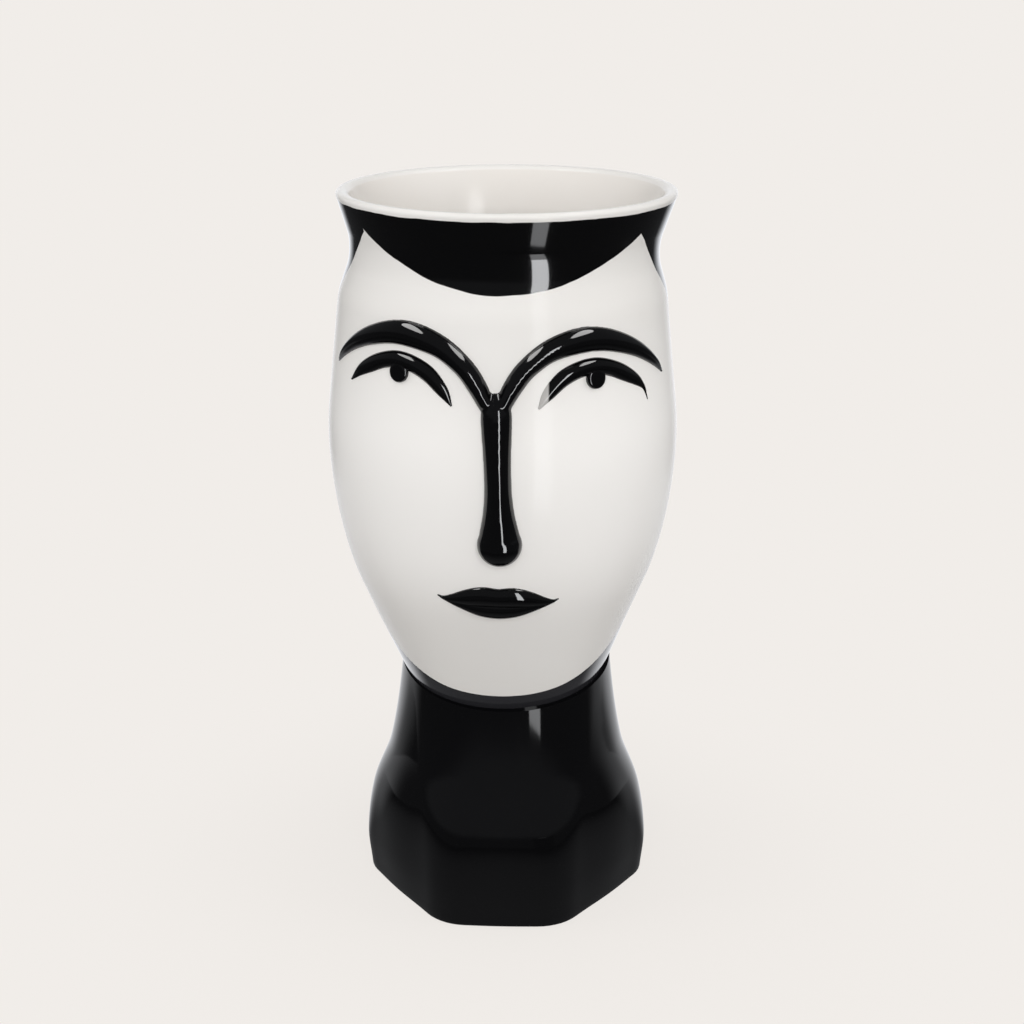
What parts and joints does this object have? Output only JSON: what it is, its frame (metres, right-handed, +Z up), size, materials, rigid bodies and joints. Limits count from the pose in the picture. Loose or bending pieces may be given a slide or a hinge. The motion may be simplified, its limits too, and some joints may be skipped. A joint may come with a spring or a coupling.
{
  "type": "face vase",
  "caption": "Tall glazed ceramic flower vase: an open head with a relief face, black hair glaze and brows, on a black neck that widens to a faceted foot.",
  "frame": {"origin": "centre of the foot's underside, on the surface that the vase stands on", "axes": "+Z up, out of the open rim; -Y to the front, the way the face looks; +X to the viewer's right of the face"},
  "size_m": [0.1434, 0.1493, 0.3],
  "materials": {
    "white_glaze": "gloss white glaze",
    "black_glaze": "gloss black glaze"
  },
  "bodies": {
    "root": {"head_vessel": "white_glaze", "neck_foot": "black_glaze", "hair_glaze": "black_glaze", "brow_nose_ridge": "black_glaze", "left_eyelid": "black_glaze", "right_eyelid": "black_glaze", "left_pupil": "black_glaze", "right_pupil": "black_glaze", "upper_lip": "black_glaze", "lower_lip": "black_glaze"}
  },
  "joints": []
}
